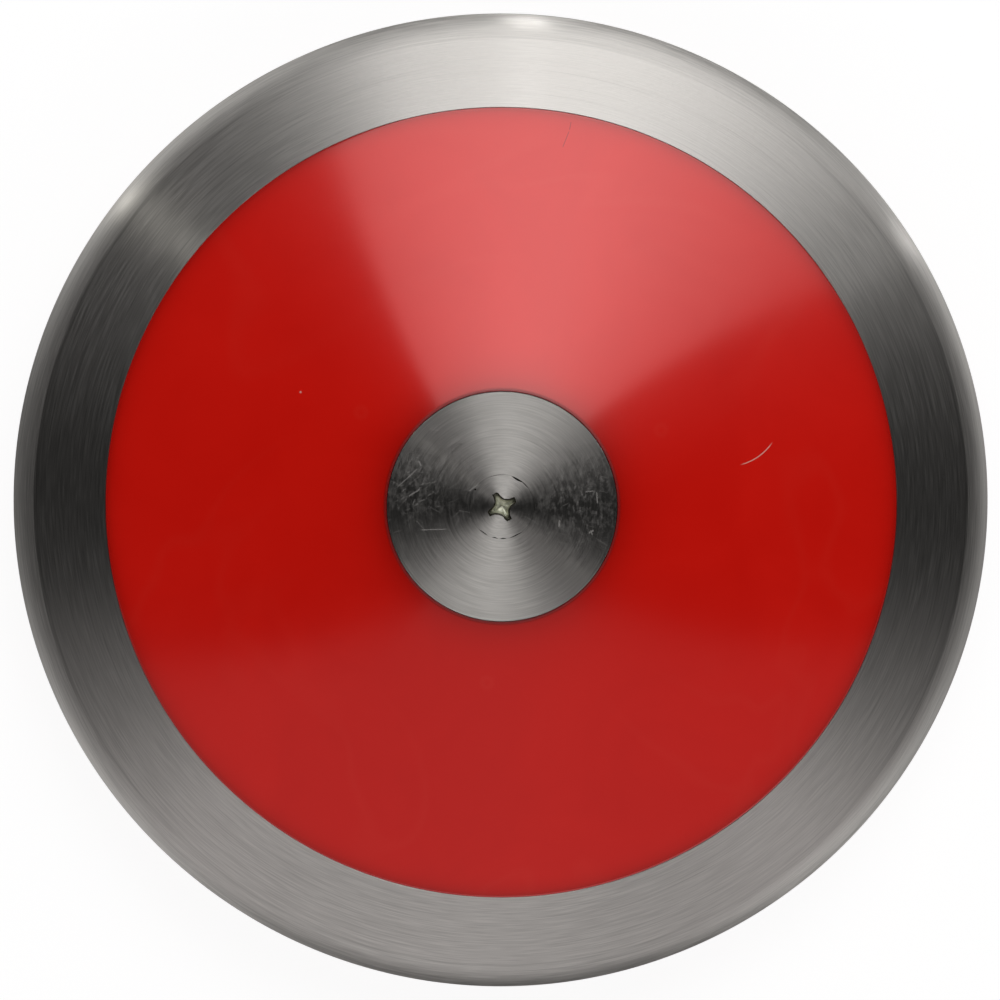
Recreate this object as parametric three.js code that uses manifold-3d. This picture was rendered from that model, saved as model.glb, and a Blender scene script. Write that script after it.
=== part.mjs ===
// A two-kilogram throwing discus. A turned steel rim holds two moulded side plates, and two steel centre
// plates are drawn together over them by a tapped sleeve and two countersunk screws. Trim washers round the
// sleeve bring it to its weight. Millimetres, +z up. It lies on its lower centre plate, with the origin at
// the centre of that face.
import * as THREE from "three";
import { mergeVertices } from "three/addons/utils/BufferGeometryUtils.js";
import Module from "manifold-3d";

const wasm = await Module();
wasm.setup();

// Outline of the whole discus
const outerDiameter = 220;
const centreThickness = 45;
const edgeRadius = 6.1;
const centrePlateDiameter = 51;

// Gap left at every seat, and how far a cutting or joining body runs past the face that it meets
const seatGap = 0.3;
const overrun = 1;

// Rim
const rimWidth = 21.25;
const flangeWidth = 9.6;
const flangeThickness = 4.6;
const flangeEdgeBreak = 0.4;

// Side plates
const shellThickness = 3;
const skirtWidth = 9.2;
const hubFloorThickness = 3.6;
const hubWallThickness = 2.8;
const hubTubeWall = 3.4;
const ribCount = 12;
const ribThickness = 1.8;
const ribDepth = 3.6;
const underFillet = 2;

// Centre plates
const centrePlateThickness = 4;
const centrePlateEdgeBreak = 0.25;

// Centre screws, their threads and their cross recesses
const screwDiameter = 8;
const screwPitch = 1.25;
const threadDepth = 0.77;
const screwLength = 17;
const screwHeadDiameter = 14.3;
const screwNeckLength = 1.6;
const screwPointLength = 0.9;
const recessSpan = 6.8;
const recessWingWidth = 1.35;
const recessCoreWidth = 3.6;
const recessDepth = 3.1;
const recessTipDepth = 0.7;
const recessFloorShare = 0.5;
const upperRecessTurn = THREE.MathUtils.degToRad(24);
const lowerRecessTurn = THREE.MathUtils.degToRad(-17);

// Centre sleeve
const sleeveDiameter = 14;
const tappedDepth = 14;
const sleeveEdgeBreak = 0.6;

// Trim washers and the rubber rings that keep them from rattling
const trimWasherCount = 3;
const trimWasherDiameter = 32;
const trimWasherThickness = 1.2;
const cushionThickness = 1.2;

// Dowels that key both side plates to the rim
const dowelCount = 6;
const dowelDiameter = 3;
const dowelReach = 3.4;
const dowelEdgeBreak = 0.35;

// Seal rings between the rim and the side plates
const sealCordDiameter = 1.6;

// Facets
const rimSegments = 72;
const hubSegments = 40;
const dowelSegments = 12;
const threadSegments = 10;
const sealSegments = 36;
const sealCordSides = 6;
const edgeArcSteps = 8;
const filletSteps = 3;
const recessCurveSteps = 4;
const weldDistance = 1e-4;

// Sizes that follow from those above. Heights are measured from the mid-plane.
const halfThickness = centreThickness / 2;
const outerRadius = outerDiameter / 2;
const centrePlateRadius = centrePlateDiameter / 2;
const rimInnerRadius = outerRadius - rimWidth;
const sidePlateRadius = rimInnerRadius - seatGap;
const recessRadius = centrePlateRadius + seatGap;
const flangeHeight = flangeThickness / 2;
const flangeInnerRadius = rimInnerRadius - flangeWidth;
const skirtFoot = flangeHeight + seatGap;
const skirtInnerRadius = sidePlateRadius - skirtWidth;
const centrePlateFoot = halfThickness - centrePlateThickness;
const hubFloorTop = centrePlateFoot - seatGap;
const hubFloorFoot = hubFloorTop - hubFloorThickness;
const hubWallRadius = recessRadius + hubWallThickness;
const sleeveRadius = sleeveDiameter / 2;
const sleeveTop = centrePlateFoot - seatGap;
const sleeveBoreRadius = sleeveRadius + seatGap;
const hubTubeRadius = sleeveBoreRadius + hubTubeWall;
const screwRadius = screwDiameter / 2;
const threadRootRadius = screwRadius - threadDepth;
const screwHeadRadius = screwHeadDiameter / 2;
const trimStackHeight = trimWasherCount * (trimWasherThickness + seatGap) - seatGap;
const cushionFoot = trimStackHeight / 2 + seatGap;
const hubTubeFoot = cushionFoot + cushionThickness + seatGap;
const sealCordRadius = sealCordDiameter / 2;
const sealCentreRadius = sidePlateRadius - sealCordRadius;
const sealCentreHeight = skirtFoot + sealCordRadius;
const sealChamfer = sealCordDiameter + Math.SQRT2 * (sealCordRadius + seatGap);
const dowelCircleRadius = (skirtInnerRadius + sidePlateRadius - sealChamfer) / 2;
const dowelRadius = dowelDiameter / 2;
const dowelTop = flangeHeight + dowelReach;

// Each face is a cone from the edge of the centre plate to where it meets the round edge without a corner.
const edgeCentreRadius = outerRadius - edgeRadius;
const conePitchRun = edgeCentreRadius - centrePlateRadius;
const coneAngle =
  Math.atan2(halfThickness, conePitchRun) -
  Math.asin(edgeRadius / Math.hypot(halfThickness, conePitchRun));
const faceHeight = (radius) => halfThickness - (radius - centrePlateRadius) * Math.tan(coneAngle);
const shellDrop = shellThickness / Math.cos(coneAngle);
const shellUnderside = (radius) => faceHeight(radius) - shellDrop;

const point = (radius, height) => new THREE.Vector2(radius, height);

// Helpers

// Turns an outline in (radius, height) about z. One that starts off the axis is closed on itself.
function revolve(outline, segments) {
  const ordered = THREE.ShapeUtils.isClockWise(outline) ? [...outline].reverse() : [...outline];
  if (ordered[0].x > 0) ordered.push(ordered[0].clone());
  return new THREE.LatheGeometry(ordered, segments).rotateX(Math.PI / 2);
}

function solidOf(geometry) {
  const bare = geometry.clone();
  bare.deleteAttribute("normal");
  bare.deleteAttribute("uv");
  const welded = mergeVertices(bare, weldDistance);
  const mesh = new wasm.Mesh({
    numProp: 3,
    vertProperties: welded.attributes.position.array,
    triVerts: Uint32Array.from(welded.index.array),
  });
  return new wasm.Manifold(mesh);
}

function geometryOf(solid) {
  const { vertProperties, triVerts } = solid.getMesh();
  const geometry = new THREE.BufferGeometry();
  geometry.setAttribute("position", new THREE.BufferAttribute(vertProperties, 3));
  geometry.setIndex(new THREE.BufferAttribute(triVerts, 1));
  geometry.computeVertexNormals();
  return geometry;
}

// A cylinder on z between two heights
function cylinder(radius, foot, top, segments) {
  const outline = [point(0, foot), point(radius, foot), point(radius, top), point(0, top)];
  return solidOf(revolve(outline, segments));
}

const unionOf = (solids) => solids.reduce((whole, piece) => whole.add(piece));

// Copies of a body made for the +x side, spread evenly round z
function ringOf(geometry, count) {
  const turns = Array.from({ length: count }, (_, k) => (k * 2 * Math.PI) / count);
  return unionOf(turns.map((turn) => solidOf(geometry.clone().rotateZ(turn))));
}

// Points along a round stretch of an outline
function arcPoints(centre, radius, from, to, steps) {
  return Array.from({ length: steps + 1 }, (_, k) => {
    const angle = from + ((to - from) * k) / steps;
    return point(centre.x + radius * Math.cos(angle), centre.y + radius * Math.sin(angle));
  });
}

const mirrored = (outline) => outline.map((p) => point(p.x, -p.y)).reverse();

// Rim: the round outer edge, both cone faces, and a flange at mid-height that carries the side plates
function rimGeometry() {
  const reach = Math.PI / 2 - coneAngle;
  const edge = arcPoints(point(edgeCentreRadius, 0), edgeRadius, -reach, reach, edgeArcSteps);
  const upperInside = [
    point(rimInnerRadius, faceHeight(rimInnerRadius)),
    point(rimInnerRadius, flangeHeight),
    point(flangeInnerRadius + flangeEdgeBreak, flangeHeight),
    point(flangeInnerRadius, flangeHeight - flangeEdgeBreak),
  ];
  const body = solidOf(revolve([...edge, ...upperInside, ...mirrored(upperInside)], rimSegments));
  const hole = new THREE.CylinderGeometry(
    dowelRadius + seatGap,
    dowelRadius + seatGap,
    flangeThickness + 2 * overrun,
    dowelSegments,
  );
  hole.rotateX(Math.PI / 2).translate(dowelCircleRadius, 0, 0);
  return geometryOf(body.subtract(ringOf(hole, dowelCount)));
}

// The turned outline of a side plate: cone shell, skirt on the rim's flange, recess for the centre plate,
// and a tube round the sleeve. The skirt's outer corner is cut away for the seal ring.
function sidePlateOutline() {
  const filletAtSkirt = point(skirtInnerRadius - underFillet, shellUnderside(skirtInnerRadius) - underFillet);
  const filletAtHub = point(hubWallRadius + underFillet, shellUnderside(hubWallRadius) - underFillet);
  return [
    point(recessRadius, faceHeight(recessRadius)),
    point(sidePlateRadius, faceHeight(sidePlateRadius)),
    point(sidePlateRadius, skirtFoot + sealChamfer),
    point(sidePlateRadius - sealChamfer, skirtFoot),
    point(skirtInnerRadius, skirtFoot),
    ...arcPoints(filletAtSkirt, underFillet, 0, Math.PI / 2 - coneAngle, filletSteps),
    ...arcPoints(filletAtHub, underFillet, Math.PI / 2 - coneAngle, Math.PI, filletSteps),
    point(hubWallRadius, hubFloorFoot),
    point(hubTubeRadius, hubFloorFoot),
    point(hubTubeRadius, hubTubeFoot),
    point(sleeveBoreRadius, hubTubeFoot),
    point(sleeveBoreRadius, hubFloorTop),
    point(recessRadius, hubFloorTop),
  ];
}

// A straight rib under the shell, from the hub wall to the skirt
function ribGeometry() {
  const inner = hubWallRadius - overrun;
  const outer = skirtInnerRadius + overrun;
  const outline = new THREE.Shape([
    point(inner, shellUnderside(inner) + overrun),
    point(inner, shellUnderside(inner) - ribDepth),
    point(outer, shellUnderside(outer) - ribDepth),
    point(outer, shellUnderside(outer) + overrun),
  ]);
  const rib = new THREE.ExtrudeGeometry(outline, { depth: ribThickness, bevelEnabled: false });
  return rib.translate(0, 0, -ribThickness / 2).rotateX(Math.PI / 2);
}

function sidePlateGeometry() {
  const turned = solidOf(revolve(sidePlateOutline(), rimSegments));
  const halfRib = Math.PI / ribCount;
  const ribs = ringOf(ribGeometry().rotateZ(halfRib), ribCount);
  const holeTop = dowelTop + seatGap;
  const holeLength = holeTop - skirtFoot + overrun;
  const hole = new THREE.CylinderGeometry(
    dowelRadius + seatGap,
    dowelRadius + seatGap,
    holeLength,
    dowelSegments,
  );
  hole.rotateX(Math.PI / 2).translate(dowelCircleRadius, 0, holeTop - holeLength / 2);
  return geometryOf(turned.add(ribs).subtract(ringOf(hole, dowelCount)));
}

// Centre plate: a flat disc, countersunk for the screw head
function centrePlateGeometry() {
  const sinkRadius = screwHeadRadius + seatGap;
  const holeRadius = screwRadius + seatGap;
  const sinkFoot = halfThickness - (sinkRadius - holeRadius);
  const outline = [
    point(sinkRadius, halfThickness),
    point(centrePlateRadius - centrePlateEdgeBreak, halfThickness),
    point(centrePlateRadius, halfThickness - centrePlateEdgeBreak),
    point(centrePlateRadius, centrePlateFoot),
    point(holeRadius, centrePlateFoot),
    point(holeRadius, sinkFoot),
  ];
  return revolve(outline, hubSegments);
}

// A right-hand thread on z, between two heights. Every column of points is shifted up by its share of the
// pitch, so the rows follow the helix, and the last column joins the first one a full pitch higher.
function threadSolid(crestRadius, rootRadius, foot, top) {
  const crestShare = 0.125;
  const rootShare = 0.25;
  const flankShare = (1 - crestShare - rootShare) / 2;
  const section = [
    { share: 0, radius: crestRadius },
    { share: crestShare, radius: crestRadius },
    { share: crestShare + flankShare, radius: rootRadius },
    { share: crestShare + flankShare + rootShare, radius: rootRadius },
  ];
  const firstTurn = Math.floor(foot / screwPitch) - 2;
  const turns = Math.ceil(top / screwPitch) + 1 - firstTurn;
  const rows = turns * section.length;
  const positions = [];
  for (let column = 0; column < threadSegments; column++) {
    const angle = (column / threadSegments) * 2 * Math.PI;
    for (let row = 0; row <= rows; row++) {
      const { share, radius } = section[row % section.length];
      const turn = firstTurn + Math.floor(row / section.length) + share + column / threadSegments;
      positions.push(radius * Math.cos(angle), radius * Math.sin(angle), turn * screwPitch);
    }
  }
  const at = (column, row) => column * (rows + 1) + row;
  const triangles = [];
  const quad = (a, b, c, d) => triangles.push(a, b, c, a, c, d);
  for (let column = 0; column < threadSegments - 1; column++)
    for (let row = 0; row < rows; row++)
      quad(at(column, row), at(column + 1, row), at(column + 1, row + 1), at(column, row + 1));
  const last = threadSegments - 1;
  for (let row = 0; row < rows - section.length; row++)
    quad(
      at(last, row + 0),
      at(0, row + section.length),
      at(0, row + section.length + 1),
      at(last, row + 1),
    );
  const columns = Array.from({ length: threadSegments }, (_, column) => column);
  const climb = Array.from({ length: section.length }, (_, row) => row);
  const footLoop = [...climb.map((row) => at(0, section.length - row)), ...columns.map((c) => at(c, 0))];
  const topLoop = [
    ...columns.map((c) => at(c, rows)),
    ...climb.map((row) => at(last, rows - row)).slice(1),
    at(last, rows - section.length),
  ];
  const cap = (loop, height) => {
    const hub = positions.length / 3;
    positions.push(0, 0, height);
    loop.forEach((vertex, k) => {
      const next = loop[(k + 1) % loop.length];
      if (vertex !== next) triangles.push(hub, next, vertex);
    });
  };
  cap([...new Set(footLoop)], (firstTurn - 1) * screwPitch);
  cap([...new Set(topLoop)].reverse(), (firstTurn + turns + 2) * screwPitch);
  const helix = new wasm.Manifold(
    new wasm.Mesh({
      numProp: 3,
      vertProperties: Float32Array.from(positions),
      triVerts: Uint32Array.from(triangles),
    }),
  );
  return helix.intersect(cylinder(crestRadius + overrun, foot, top, threadSegments));
}

// The cross recess of the screw head, turned on z: four wings, joined by curves that come within the core's
// half width of the axis. It narrows downwards to a shallow point.
function recessSolid(turn) {
  const end = recessSpan / 2;
  const side = recessWingWidth / 2;
  const core = recessCoreWidth / 2;
  const hollow = core * Math.SQRT2 - (end + side) / 2;
  const outline = new THREE.Shape();
  outline.moveTo(end, -side);
  for (let wing = 0; wing < 4; wing++) {
    const cos = Math.round(Math.cos((wing * Math.PI) / 2));
    const sin = Math.round(Math.sin((wing * Math.PI) / 2));
    outline.lineTo(end * cos - side * sin, end * sin + side * cos);
    outline.quadraticCurveTo(
      hollow * (cos - sin),
      hollow * (sin + cos),
      side * cos - end * sin,
      side * sin + end * cos,
    );
  }
  const options = { depth: 1, bevelEnabled: false, curveSegments: recessCurveSteps };
  const slice = (foot, top, footShare) => {
    const geometry = new THREE.ExtrudeGeometry(outline, options).scale(1, 1, top - foot);
    const places = geometry.attributes.position;
    for (let k = 0; k < places.count; k++) {
      const share = places.getZ(k) > 0 ? 1 : footShare;
      places.setXY(k, places.getX(k) * share, places.getY(k) * share);
    }
    return geometry.translate(0, 0, foot).rotateZ(turn);
  };
  const floor = halfThickness - recessDepth;
  const socket = solidOf(slice(floor, halfThickness, recessFloorShare));
  const mouth = solidOf(slice(halfThickness, halfThickness + overrun, 1));
  const tipRadius = core * recessFloorShare;
  const tip = revolve(
    [
      point(0, floor - recessTipDepth),
      point(tipRadius, floor + recessTipDepth),
      point(0, floor + recessTipDepth),
    ],
    dowelSegments,
  );
  return unionOf([socket, mouth, solidOf(tip)]);
}

// Centre screw: a countersunk head turned flush with the centre plate, a plain neck and a thread
function centreScrewGeometry(recessTurn) {
  const headFoot = halfThickness - (screwHeadRadius - screwRadius);
  const neckFoot = headFoot - screwNeckLength;
  const screwFoot = halfThickness - screwLength;
  const threadFoot = screwFoot + screwPointLength;
  const headAndNeck = revolve(
    [
      point(0, neckFoot - overrun),
      point(threadRootRadius, neckFoot - overrun),
      point(threadRootRadius, neckFoot),
      point(screwRadius, neckFoot + threadDepth),
      point(screwRadius, headFoot),
      point(screwHeadRadius, halfThickness),
      point(0, halfThickness),
    ],
    hubSegments,
  );
  const screwPoint = revolve(
    [
      point(0, screwFoot),
      point(threadRootRadius - screwPointLength / 2, screwFoot),
      point(threadRootRadius, threadFoot),
      point(threadRootRadius, threadFoot + overrun),
      point(0, threadFoot + overrun),
    ],
    threadSegments,
  );
  const thread = threadSolid(screwRadius, threadRootRadius, threadFoot, neckFoot);
  const body = unionOf([solidOf(headAndNeck), thread, solidOf(screwPoint)]);
  return geometryOf(body.subtract(recessSolid(recessTurn)));
}

// Centre sleeve: a round bar, bored through and tapped from both ends
function centreSleeveGeometry() {
  const endBreak = point(sleeveRadius - sleeveEdgeBreak, sleeveTop);
  const sideBreak = point(sleeveRadius, sleeveTop - sleeveEdgeBreak);
  const boreRadius = threadRootRadius + seatGap;
  const tapRadius = screwRadius + seatGap;
  const outline = [
    point(0, -sleeveTop),
    point(endBreak.x, -endBreak.y),
    point(sideBreak.x, -sideBreak.y),
    sideBreak,
    endBreak,
    point(0, sleeveTop),
  ];
  const bar = solidOf(revolve(outline, hubSegments));
  const tapFoot = sleeveTop - tappedDepth;
  const bore = cylinder(boreRadius, -tapFoot - overrun, tapFoot + overrun, threadSegments);
  const tap = threadSolid(tapRadius, boreRadius, tapFoot, sleeveTop + overrun);
  const leadIn = [
    point(0, sleeveTop - threadDepth - overrun),
    point(boreRadius - overrun, sleeveTop - threadDepth - overrun),
    point(tapRadius + overrun, sleeveTop + overrun),
    point(0, sleeveTop + overrun),
  ];
  const end = geometryOf(tap.add(solidOf(revolve(leadIn, threadSegments))));
  const otherEnd = end.clone().rotateX(Math.PI);
  return geometryOf(bar.subtract(unionOf([bore, solidOf(end), solidOf(otherEnd)])));
}

// A flat ring round the sleeve
function washerGeometry(diameter, foot, thickness) {
  const outline = [
    point(sleeveBoreRadius, foot),
    point(diameter / 2, foot),
    point(diameter / 2, foot + thickness),
    point(sleeveBoreRadius, foot + thickness),
  ];
  return revolve(outline, hubSegments);
}

function dowelGeometry() {
  const outline = [
    point(0, -dowelTop),
    point(dowelRadius - dowelEdgeBreak, -dowelTop),
    point(dowelRadius, dowelEdgeBreak - dowelTop),
    point(dowelRadius, dowelTop - dowelEdgeBreak),
    point(dowelRadius - dowelEdgeBreak, dowelTop),
    point(0, dowelTop),
  ];
  return revolve(outline, dowelSegments);
}

function sealRingGeometry() {
  const centre = point(sealCentreRadius, sealCentreHeight);
  const cord = arcPoints(centre, sealCordRadius, 0, 2 * Math.PI, sealCordSides).slice(1);
  return revolve(cord, sealSegments);
}

// Materials
const material = (color, roughness, metalness) =>
  new THREE.MeshStandardMaterial({ color, roughness, metalness });
const rimSteel = material(0xa8a5a0, 0.36, 1);
const plateSteel = material(0x9d9a95, 0.32, 1);
const screwSteel = material(0xa5a29a, 0.34, 1);
const platedSteel = material(0xb9b48a, 0.3, 1);
const dowelSteel = material(0x8f8f92, 0.3, 1);
const redPlastic = material(0xb5120c, 0.2, 0);
const blackRubber = material(0x1c1c1d, 0.8, 0);

// Assembly. Everything is placed from the mid-plane, and the lower half is the upper one turned over.
const discus = new THREE.Group();
const midPlane = new THREE.Group();
midPlane.position.z = halfThickness;
discus.add(midPlane);

function place(parent, name, geometry, surface) {
  const mesh = new THREE.Mesh(geometry, surface);
  mesh.name = name;
  parent.add(mesh);
  return mesh;
}

place(midPlane, "rim", rimGeometry(), rimSteel);
place(midPlane, "centre_sleeve", centreSleeveGeometry(), platedSteel);

for (let k = 0; k < trimWasherCount; k++) {
  const foot = k * (trimWasherThickness + seatGap) - trimStackHeight / 2;
  const washer = washerGeometry(trimWasherDiameter, foot, trimWasherThickness);
  place(midPlane, `trim_washer_${k + 1}`, washer, platedSteel);
}

for (let k = 0; k < dowelCount; k++) {
  const turn = (k * 2 * Math.PI) / dowelCount;
  const dowel = place(midPlane, `rim_dowel_${k + 1}`, dowelGeometry(), dowelSteel);
  dowel.position.set(dowelCircleRadius * Math.cos(turn), dowelCircleRadius * Math.sin(turn), 0);
  dowel.rotation.z = turn;
}

const halves = [
  { side: "upper", flip: 0, recessTurn: upperRecessTurn },
  { side: "lower", flip: Math.PI, recessTurn: lowerRecessTurn },
];
for (const { side, flip, recessTurn } of halves) {
  const half = new THREE.Group();
  half.rotation.x = flip;
  midPlane.add(half);
  place(half, `${side}_side_plate`, sidePlateGeometry(), redPlastic);
  place(half, `${side}_centre_plate`, centrePlateGeometry(), plateSteel);
  place(half, `${side}_centre_screw`, centreScrewGeometry(recessTurn), screwSteel);
  place(half, `${side}_seal_ring`, sealRingGeometry(), blackRubber);
  const cushion = washerGeometry(2 * hubTubeRadius, cushionFoot, cushionThickness);
  place(half, `${side}_cushion_ring`, cushion, blackRubber);
}

export default discus;
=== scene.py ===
"""Dresses the discus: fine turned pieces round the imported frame, their materials, and a plain studio.

Lengths are metres. Heights in an outline are measured from the discus's mid-plane, radii from its axis.
"""

import math
import random

import bmesh
import bpy
from mathutils import Matrix, Vector


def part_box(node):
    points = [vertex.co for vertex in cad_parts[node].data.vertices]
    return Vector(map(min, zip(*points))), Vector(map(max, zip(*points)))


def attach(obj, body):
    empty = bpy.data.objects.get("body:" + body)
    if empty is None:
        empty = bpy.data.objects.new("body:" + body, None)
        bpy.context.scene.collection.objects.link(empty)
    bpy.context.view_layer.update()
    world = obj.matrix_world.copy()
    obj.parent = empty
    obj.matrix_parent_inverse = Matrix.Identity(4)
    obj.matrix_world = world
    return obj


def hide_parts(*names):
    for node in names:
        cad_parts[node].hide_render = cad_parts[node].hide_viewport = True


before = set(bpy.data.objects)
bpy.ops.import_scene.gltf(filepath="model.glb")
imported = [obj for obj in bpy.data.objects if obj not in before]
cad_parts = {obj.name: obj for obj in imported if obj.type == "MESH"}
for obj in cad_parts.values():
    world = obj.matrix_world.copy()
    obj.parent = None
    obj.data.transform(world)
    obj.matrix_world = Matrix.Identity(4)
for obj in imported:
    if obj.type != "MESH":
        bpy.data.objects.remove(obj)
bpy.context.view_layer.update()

MM = 0.001

# Sizes read from the frame
rim_low, rim_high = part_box("rim")
side_low, side_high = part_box("upper_side_plate")
plate_low, plate_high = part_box("upper_centre_plate")
screw_low, screw_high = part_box("upper_centre_screw")
sleeve_low, sleeve_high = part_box("centre_sleeve")
dowel_low, dowel_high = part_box("rim_dowel_1")
cushion_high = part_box("upper_cushion_ring")[1]
MID = (rim_low.z + rim_high.z) / 2
HALF = plate_high.z - MID
OUTER = (rim_high.x - rim_low.x) / 2
PLATE_RADIUS = (plate_high.x - plate_low.x) / 2
PLATE_FOOT = plate_low.z - MID
SIDE_RADIUS = (side_high.y - side_low.y) / 2
SCREW_FOOT = screw_low.z - MID
HEAD_RADIUS = (screw_high.x - screw_low.x) / 2
SLEEVE_RADIUS = (sleeve_high.x - sleeve_low.x) / 2
DOWEL_RADIUS = (dowel_high.y - dowel_low.y) / 2
DOWEL_CIRCLE = (dowel_high.x + dowel_low.x) / 2
DOWEL_TOP = dowel_high.z - MID
CUSHION_TOP = cushion_high.z - MID

# Sizes of the construction that the frame's boxes don't give
GAP = 0.3 * MM
EDGE_RADIUS = 6.1 * MM
RIM_WIDTH = 21.25 * MM
FLANGE_WIDTH = 9.6 * MM
FLANGE_HEIGHT = 2.3 * MM
SHELL_THICKNESS = 3.0 * MM
SKIRT_WIDTH = 9.2 * MM
SEAL_CORD_RADIUS = 0.8 * MM
HUB_FLOOR = 3.6 * MM
HUB_WALL = 2.8 * MM
HUB_TUBE_WALL = 3.4 * MM
UNDER_FILLET = 2.0 * MM
RIB_COUNT = 12
RIB_THICKNESS = 1.8 * MM
RIB_DEPTH = 3.6 * MM
DOWEL_COUNT = 6
SCREW_RADIUS = 4.0 * MM
THREAD_DEPTH = 0.77 * MM
THREAD_PITCH = 1.25 * MM
SCREW_NECK = 1.6 * MM
SCREW_POINT = 0.9 * MM

# Sizes of the fine finish
RIM_LIP_BREAK = 0.10 * MM
RIM_SHOULDER = 104.9 * MM
RIM_SHOULDER_DIP = 0.1 * MM
PLATE_EDGE_BREAK = 0.04 * MM
SIDE_LIP_HEIGHT = 1.0 * MM
SIDE_LIP_GAP = 0.04 * MM
SIDE_LIP_ROUND = 0.08 * MM
SIDE_CROWN_RADIUS = 3.0 * MM
SIDE_CROWN_WIDTH = 0.45 * MM
SIDE_MOUTH_GAP = 0.13 * MM
SIDE_MOUTH_ROUND = 0.12 * MM
SINK_GAP = 0.02 * MM
OVERRUN = 1.0 * MM
# Where the point lies, beside a rounded edge, that keeps the shading of the face even up to the edge
SUPPORT = 0.05 * MM

# Fineness of the meshes, and the angle in degrees from which an edge is shaded sharp
RIM_STEPS = 480
HUB_STEPS = 288
EDGE_STEPS = 72
FILLET_STEPS = 8
ROUND_STEPS = 5
HOLE_STEPS = 32
ROWS_PER_PITCH = 8
SHARP_ANGLE = 30

# Slope of the outer faces: from the centre plate's edge down to where it touches the round edge
CONE_RUN = OUTER - EDGE_RADIUS - PLATE_RADIUS
CONE = math.atan2(HALF, CONE_RUN) - math.asin(EDGE_RADIUS / math.hypot(HALF, CONE_RUN))
# Direction in which the outer faces look, in degrees from level
FACE_NORMAL = 90 - math.degrees(CONE)


def face_height(radius):
    """Height of the outer face at a distance from the axis."""
    return HALF - (radius - PLATE_RADIUS) * math.tan(CONE)


def on_face(radius):
    return (radius, face_height(radius))


def underside(radius):
    """Height of a side plate's inner face at a distance from the axis."""
    return face_height(radius) - SHELL_THICKNESS / math.cos(CONE)


# Mesh helpers


def arc(centre, radius, start, end, steps):
    """Points along a round stretch of an outline, from the start angle to the end angle, in degrees."""
    points = []
    for k in range(steps + 1):
        angle = math.radians(start + (end - start) * k / steps)
        points.append((centre[0] + radius * math.cos(angle), centre[1] + radius * math.sin(angle)))
    return points


def smooth(obj):
    obj.data.shade_smooth()
    obj.data.set_sharp_from_angle(angle=math.radians(SHARP_ANGLE))


def new_object(name, bm):
    bmesh.ops.recalc_face_normals(bm, faces=bm.faces)
    mesh = bpy.data.meshes.new(name)
    bm.to_mesh(mesh)
    bm.free()
    obj = bpy.data.objects.new(name, mesh)
    bpy.context.scene.collection.objects.link(obj)
    smooth(obj)
    return obj


def turned_object(name, outline, steps, radius_change=None):
    """Turns an outline of (radius, height) about z into a closed body, closing on the axis or on itself."""
    bm = bmesh.new()
    rings = []
    for index, (radius, height) in enumerate(outline):
        if radius == 0:
            rings.append([bm.verts.new((0, 0, MID + height))])
            continue
        ring = []
        for k in range(steps):
            angle = 2 * math.pi * k / steps
            r = radius + (radius_change(index, angle) if radius_change else 0)
            ring.append(bm.verts.new((r * math.cos(angle), r * math.sin(angle), MID + height)))
        rings.append(ring)
    pairs = list(zip(rings, rings[1:]))
    if len(rings[0]) > 1:
        pairs.append((rings[-1], rings[0]))
    for lower, upper in pairs:
        for k in range(steps):
            n = (k + 1) % steps
            corners = [lower[k % len(lower)], lower[n % len(lower)]]
            corners += [upper[n % len(upper)], upper[k % len(upper)]]
            bm.faces.new(list(dict.fromkeys(corners)))
    return new_object(name, bm)


def combine(base, tool, operation):
    """Joins the tool to the base, or cuts it away, and deletes the tool."""
    modifier = base.modifiers.new("combine", "BOOLEAN")
    modifier.operation = operation
    modifier.solver = "EXACT"
    modifier.object = tool
    graph = bpy.context.evaluated_depsgraph_get()
    mesh = bpy.data.meshes.new_from_object(base.evaluated_get(graph))
    base.modifiers.clear()
    base.data = mesh
    bpy.data.objects.remove(tool)
    smooth(base)


def dowel_holes(foot, top):
    """The cylinders that cut the dowels' holes, from foot to top."""
    radius = DOWEL_RADIUS + GAP
    bm = bmesh.new()
    for k in range(DOWEL_COUNT):
        angle = 2 * math.pi * k / DOWEL_COUNT
        x, y = DOWEL_CIRCLE * math.cos(angle), DOWEL_CIRCLE * math.sin(angle)
        place = Matrix.Translation((x, y, MID + (foot + top) / 2))
        bmesh.ops.create_cone(
            bm,
            cap_ends=True,
            segments=HOLE_STEPS,
            radius1=radius,
            radius2=radius,
            depth=top - foot,
            matrix=place,
        )
    return new_object("dowel_holes", bm)


def turn_over(obj, name):
    """A copy for the lower side: the upper piece turned half a turn about the x axis at mid-height."""
    copy = bpy.data.objects.new(name, obj.data.copy())
    bpy.context.scene.collection.objects.link(copy)
    centre = Matrix.Translation((0, 0, MID))
    copy.data.transform(centre @ Matrix.Rotation(math.pi, 4, "X") @ centre.inverted())
    return copy


# Rim


def rim_outline():
    """The round edge starts at a faint shoulder, where the cone meets it in a shallow dip."""
    inner = OUTER - RIM_WIDTH
    height = face_height(RIM_SHOULDER)
    drop = OUTER - RIM_SHOULDER
    edge_radius = (drop**2 + height**2) / (2 * drop)
    centre = (OUTER - edge_radius, 0)
    start = math.degrees(math.atan2(height, RIM_SHOULDER - centre[0]))
    upper = [
        (inner - FLANGE_WIDTH, FLANGE_HEIGHT - GAP),
        (inner - FLANGE_WIDTH + GAP, FLANGE_HEIGHT),
        (inner, FLANGE_HEIGHT),
        (inner, face_height(inner) - RIM_LIP_BREAK),
        on_face(inner + RIM_LIP_BREAK),
        on_face(RIM_SHOULDER - RIM_SHOULDER_DIP),
    ]
    edge = arc(centre, edge_radius, start, -start, EDGE_STEPS)
    lower = [(radius, -height) for radius, height in reversed(upper)]
    return upper + edge + lower


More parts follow.
